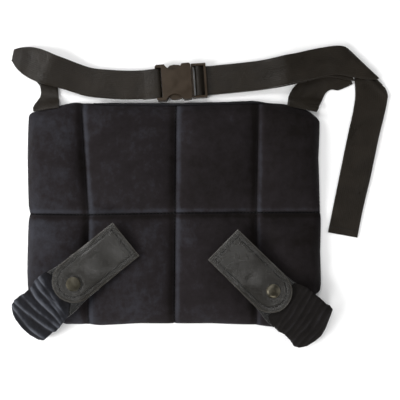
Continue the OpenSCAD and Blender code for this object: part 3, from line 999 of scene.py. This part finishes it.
def buildFlap(side):
    top = flapSheet(side, "flapLeather_" + side, 0.0, flap["lining"], flap["leather"])
    flapBlend(top)
    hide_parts("flap_leather_" + side)
    under = flapSheet(side, "flapLining_" + side, 0.6, 0.0, flap["lining"])
    flapBlend(under)
    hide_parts("flap_lining_" + side)
    seam, r, straight = flap["seam"], flap["width"] / 2, flap["length"] - flap["width"] / 2
    bend = r - seam
    outline = [(seam, y) for y in range(-int(bend), int(bend) + 1)]
    outline += [(mixed(seam, straight, k / 30), bend) for k in range(31)]
    outline += [(straight + bend * math.sin(math.pi * k / 40),
                 bend * math.cos(math.pi * k / 40)) for k in range(41)]
    outline += [(mixed(straight, seam, k / 30), -bend) for k in range(31)]
    level = flap["lining"] + flap["leather"] - 0.12
    path = [onFlap(side, x, y, level + flapRise(x, y)) for x, y in outline]
    stitches = stitchRow("flapStitches_" + side, walk(path, flap["pitch"]), {"length": 2.7, "radius": 0.28})
    flapBlend(stitches)
    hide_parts("flap_stitch_" + side)


# each step of the cap's profile: inwards and upwards
capShape = {"radius": 7.2, "depth": 0.9, "steps": [(0.45, 0.10), (0.45, -0.30), (0.8, 0.50), (1.2, 0.50),
                                                   (1.4, 0.34), (1.3, 0.16), (0.9, 0.04)]}


def buildSnapCap(side):
    # a domed cap with a rolled rim
    clearSelection()
    centre = onFlap(side, flap["snapAt"], flap["snapY"], flap["lining"] + flap["leather"])
    radius, depth = capShape["radius"] * mm, capShape["depth"] * mm
    bpy.ops.mesh.primitive_cylinder_add(vertices=64, radius=radius, depth=depth, location=(0, 0, depth / 2))
    cap = bpy.context.object
    cap.name = "snapCap_" + side
    bpy.ops.object.transform_apply(location=True, rotation=True, scale=True)
    for face in cap.data.polygons:
        face.select = face.normal.z > 0.9
    bpy.ops.object.mode_set(mode="EDIT")
    bpy.ops.mesh.select_mode(type="FACE")
    for inset, rise in capShape["steps"]:
        bpy.ops.mesh.inset(thickness=inset * mm, depth=0)
        bpy.ops.transform.translate(value=(0, 0, rise * mm))
    bpy.ops.object.mode_set(mode="OBJECT")
    roundEdges(cap, 0.18, 2, 40)
    cap.rotation_mode = "XYZ"
    cap.rotation_euler = (0, -math.radians(flap["tilt"]), math.radians(corners[side]["turn"]))
    cap.location = [c * mm for c in centre]
    pick(cap)
    bpy.ops.object.transform_apply(location=True, rotation=True, scale=True)
    outwards(cap)
    smoothLook(cap, 50)
    paint(cap, metal)
    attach(cap, "flap_" + side)
    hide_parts("snap_cap_" + side)


def buildLoopEnd(side):
    across, along = 24, 30
    end = {"from": 48.0, "to": 95.0, "half": 22.4, "far": 24.6, "top": -2.0, "thickness": 1.6, "corner": 3.5,
           "seam": 3.2, "seamHeight": -1.95}

    def edgeHalf(x):
        # the leather end widens a little past the flap, towards the sleeve
        return mixed(end["half"], end["far"], softStep(x, 66, 88))

    def spot(i, j):
        x = mixed(end["from"], end["to"], j / along)
        s = 2 * i / across - 1
        near = clamp((end["corner"] - (x - end["from"])) / end["corner"], 0, 1)
        rounded = end["corner"] * (1 - math.sqrt(max(0.0, 1 - near ** 2)))
        y = s * (edgeHalf(x) - rounded)
        edge = min(edgeHalf(x) - abs(y), x - end["from"])
        z = end["top"] - end["thickness"] / 2 - 0.25 * abs(s) ** 4
        return onFlap(side, x, y, z), (clamp(edge, 0, 12) / 10, x / 10)

    piece = gridPiece("loopEnd_" + side, across, along, spot, True)
    outwards(piece)
    finishSheet(piece, end["thickness"], 0.45)
    paint(piece, shadedLeather)
    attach(piece, "loop_" + side)
    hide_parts("loop_end_" + side)
    rows = []
    for s in (-1, 1):
        line = [onFlap(side, x, s * (edgeHalf(x) - end["seam"]), end["seamHeight"]) for x in range(51, 84, 2)]
        rows += walk(line, flap["pitch"])
    rows += walk([onFlap(side, 51.5, y, end["seamHeight"]) for y in range(-19, 20, 2)], flap["pitch"])
    stitches = stitchRow("loopEndStitches_" + side, rows, {"length": 2.7, "radius": 0.26})
    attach(stitches, "loop_" + side)
    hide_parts("loop_end_stitch_" + side)


sleeve = {
    "left": {
        "mouth": [(-26, 84), (-14, 80), (0, 84), (14, 82), (20, 86), (26, 93)],
        "fold": [(-27, 136.5), (-18, 141.6), (-12, 143.0), (3, 143.4), (16, 141.0), (25, 137.2), (28, 133.6)],
        "low": [(86, -25.4), (98, -25.2), (106, -22.4), (116, -22.2), (122, -23.4), (130, -23.4),
                (137, -21.4), (144, -17)],
        "high": [(86, 24.5), (96, 24.2), (108, 27.0), (115, 28.2), (119, 26.8), (127, 27.4), (134, 27.8),
                 (144, 24)],
        "ridges": [(-22, [92, 98, 107, 119, 130.5, 136]), (-4, [93.5, 98.5, 107, 116.5, 126.5, 136.2]),
                   (9, [95, 98.5, 104, 113.5, 122.5, 135.5]), (25, [97, 101, 105, 110, 117, 131])],
        "depth": 3.2, "sharp": 1.5, "slack": 3.4, "seed": 3, "root": 116.0,
    },
    "right": {
        "mouth": [(-25, 94.6), (-19, 84), (-10, 82), (0, 84), (14, 80), (22, 78), (31, 79)],
        "fold": [(-25, 124), (-22, 131), (-17, 136.0), (-6, 138.4), (5, 139.2), (16, 136.4), (27, 130.6),
                 (32, 126)],
        "low": [(78, -22.5), (97, -23.4), (102, -23.8), (108, -21.6), (115, -21.9), (120, -22.3),
                (125, -23.8), (131, -22.2), (140, -16)],
        "high": [(78, 22.5), (89, 27.6), (100, 29.0), (112, 30.2), (119, 30.0), (122, 31.6), (128, 31.2),
                 (131, 27.5), (140, 22)],
        "ridges": [(-20, [97, 102, 108, 114.5, 120, 126, 132]), (0, [93, 99, 106, 112.5, 119, 126, 133]),
                   (14, [90, 96, 102, 109, 117, 124, 131]), (28, [87, 92, 98, 105, 112.5, 120, 126.5])],
        "depth": 1.1, "sharp": 1.0, "slack": 1.7, "seed": 11, "root": 111.0,
    },
}


tube = {
    "upper": 84, "turn": 10, "lower": 40, "around": 72, "foldIn": 2.6, "backUnder": 3.1, "backMiddle": 3.0,
    "halfWidth": 26, "middleAt": 120, "flapGap": 0.35, "floorGap": 0.3, "hollow": 0.3,
    "hinge": (139, 4.6, 8.2),
    "top": [(78, 23.2), (88, 24.3), (94, 24.4), (104, 23.2), (116, 20.2), (128, 16.0), (138, 11.6),
            (144, 8.6)],
    "under": [(78, 21.6), (88, 22.1), (94, 20.6), (104, 18.0), (116, 13.4), (128, 8.8), (136, 6.9),
              (144, 6.3)],
}


def ridgeLines(look, y):
    table = look["ridges"]
    return [readTable([(row[0], row[1][k]) for row in table], y) for k in range(len(table[0][1]))]


def buildSleeve(side):
    # a gathered velvet tube over elastic: from under the flap, round the fold and back to the pad's corner
    look = sleeve[side]
    upper, turn, lower, around = tube["upper"], tube["turn"], tube["lower"], tube["around"]
    along = upper + turn + lower
    middleY = 0.5 * (readTable(look["low"], tube["middleAt"]) + readTable(look["high"], tube["middleAt"]))

    def gather(x, y):
        # soft folds: a rounded crest on each line and a broad hollow between
        height = 0.0
        for k, line in enumerate(ridgeLines(look, y)):
            gap = x - line - 1.2 * grain(y, k * 7.0, look["seed"], 13)
            strength = clamp(0.72 + 0.75 * grain(y, k * 11.0, look["seed"] + 2, 17), 0.12, 1.15)
            width = look["sharp"] if gap > 0 else look["slack"]
            height = max(height, strength * math.exp(-(abs(gap) / width) ** 1.4))
        fine = 0.10 * grain(x, y * 0.35, look["seed"] + 5, 3.2)
        return height + (fine + 0.14 * grain(x, y * 0.5, look["seed"] + 9, 7))

    def spot(i, j):
        turnAngle = 2 * math.pi * i / around
        c, s = math.cos(turnAngle), math.sin(turnAngle)
        flat = math.copysign(abs(c) ** 0.6, c)
        oval = math.copysign(abs(s) ** 0.75, s)
        yGuess = middleY + flat * tube["halfWidth"]
        mouth, fold = readTable(look["mouth"], yGuess), readTable(look["fold"], yGuess)
        if j <= upper:
            t = j / upper
            x = mixed(mouth, fold - tube["foldIn"], t)
            low, high = readTable(look["low"], x), readTable(look["high"], x)
            y = mixed(low, high, (flat + 1) / 2)
            top, under = readTable(tube["top"], x), readTable(tube["under"], x)
            middle, half = (top + under) / 2, (top - under) / 2
            puffed = gather(x, y) - tube["hollow"]
            fade = softStep(t, 0.0, 0.10) * mixed(1.0, 0.55, softStep(t, 0.9, 1.0))
            z = middle + oval * (half + puffed * (look["depth"] if s > 0 else 0.7) * fade)
            bulge = puffed * 0.8 * fade * abs(flat) ** 6
            y += math.copysign(bulge, flat)
            if x < flap["length"] + 2 and abs(y) < flapHalfWidth(min(x, flap["length"] - 1)) + 2:
                lining = flap["height"] + x * math.sin(math.radians(flap["tilt"]))
                z = min(z, lining - lie["roll"] * (abs(y) / (flap["width"] / 2)) ** 3 - tube["flapGap"])
            return atCorner(side, x, y, z), (clamp(puffed, -tube["hollow"], 1), x / 100)
        if j <= upper + turn:
            t = (j - upper) / turn
            angle = math.pi / 2 - math.pi * t
            low, high = readTable(look["low"], fold), readTable(look["high"], fold)
            y = mixed(low, high, (flat + 1) / 2)
            under = tube["backUnder"]
            front = mixed(readTable(tube["under"], fold), readTable(tube["top"], fold), 0.5)
            middleZ, reach = (front + under) / 2, (front - under) / 2
            thick = mixed(1.0, 2.4, 0.5 + 0.5 * math.cos(math.pi * t)) * oval
            x = fold - tube["foldIn"] + (reach * 0.75 + thick) * math.cos(angle)
            z = middleZ + (reach + thick) * math.sin(angle)
            return atCorner(side, x, y, max(tube["floorGap"], z)), (0.0, x / 100)
        t = (j - upper - turn) / lower
        x = mixed(fold - tube["foldIn"], look["root"], t)
        low, high = readTable(look["low"], x) + 0.8, readTable(look["high"], x) - 0.8
        y = mixed(low, high, (flat + 1) / 2)
        puffed = gather(x + 3.7, y) - tube["hollow"]
        z = tube["backMiddle"] - (2.2 + 0.45 * puffed * (1 - t)) * oval
        return atCorner(side, x, y, max(tube["floorGap"], z)), (clamp(puffed, -tube["hollow"], 1), x / 100)

    piece = gridPiece("gatheredSleeve_" + side, around, along, spot)
    mergePoints(piece, 0.02)
    editWhole(piece, bpy.ops.mesh.fill_holes, sides=0)
    outwards(piece)
    smoothLook(piece, 80)
    paint(piece, sleeveVelvets[side])
    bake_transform(piece)
    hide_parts("loop_sleeve_" + side, "sleeve_root_" + side,
                "loop_elastic_" + side, "elastic_root_" + side)


for side in ("left", "right"):
    print("flap and loop", side)
    buildFlap(side)
    buildSnapCap(side)
    buildLoopEnd(side)
    buildSleeve(side)
    for kind in ("snap_socket_", "snap_stud_", "snap_rivet_"):
        paint(nodes[kind + side], metal)


def buildStage():
    clearSelection()
    bpy.ops.mesh.primitive_plane_add(size=24, location=(0, 0, -0.0002))
    floor = bpy.context.object
    floor.name = "floor"
    bpy.ops.object.transform_apply(location=True, rotation=True, scale=True)
    paint(floor, startMaterial("paleFloor", (0.92, 0.92, 0.92), 0.8)[0])


def addLight(name, place, size, power):
    data = bpy.data.lights.new(name, "AREA")
    data.shape = "RECTANGLE"
    data.size, data.size_y = size
    data.energy = power
    lamp = bpy.data.objects.new(name, data)
    lamp.location = place
    lamp.rotation_mode = "QUATERNION"
    lamp.rotation_quaternion = (Vector((0, 0, 0)) - Vector(place)).to_track_quat("-Z", "Y")
    scene.collection.objects.link(lamp)


def buildView():
    scene.view_settings.view_transform = "Standard"
    view = {"lens": 51.4, "place": (0.0268, 0.0142, 0.600)}
    data = bpy.data.cameras.new("camera")
    data.lens = view["lens"]
    data.sensor_width = 36
    data.clip_start = 0.01
    camera = bpy.data.objects.new("camera", data)
    camera.location = view["place"]  # unturned, it looks straight down
    scene.collection.objects.link(camera)
    scene.camera = camera
    world = bpy.data.worlds.new("studio")
    world.use_nodes = True
    setShader(world.node_tree.nodes["Background"], {"Color": (1, 1, 1, 1), "Strength": 0.20})
    scene.world = world


print("stage")
buildStage()
lights = {
    "keyLight": ((-1.0, -0.35, 0.72), (0.5, 0.5), 14),
    "leftLight": ((-1.15, 0.62, 0.76), (0.3, 0.4), 7),
    "sheenLight": ((-0.36, 0.31, 1.1), (0.14, 0.3), 1.3),
    "leftGlint": ((-0.17, -0.13, 1.0), (0.05, 0.05), 0.28),
    "rightGlint": ((0.11, -0.13, 1.0), (0.05, 0.05), 0.28),
    "topLight": ((-0.25, 0.85, 1.0), (0.8, 0.5), 5),
    "sideLight": ((1.0, -0.1, 0.9), (0.8, 0.8), 3.5),
    "frontLight": ((0.1, -1.1, 0.55), (0.7, 0.25), 8),
}
for name, (place, size, power) in lights.items():
    addLight(name, place, size, power)
buildView()

print("done")
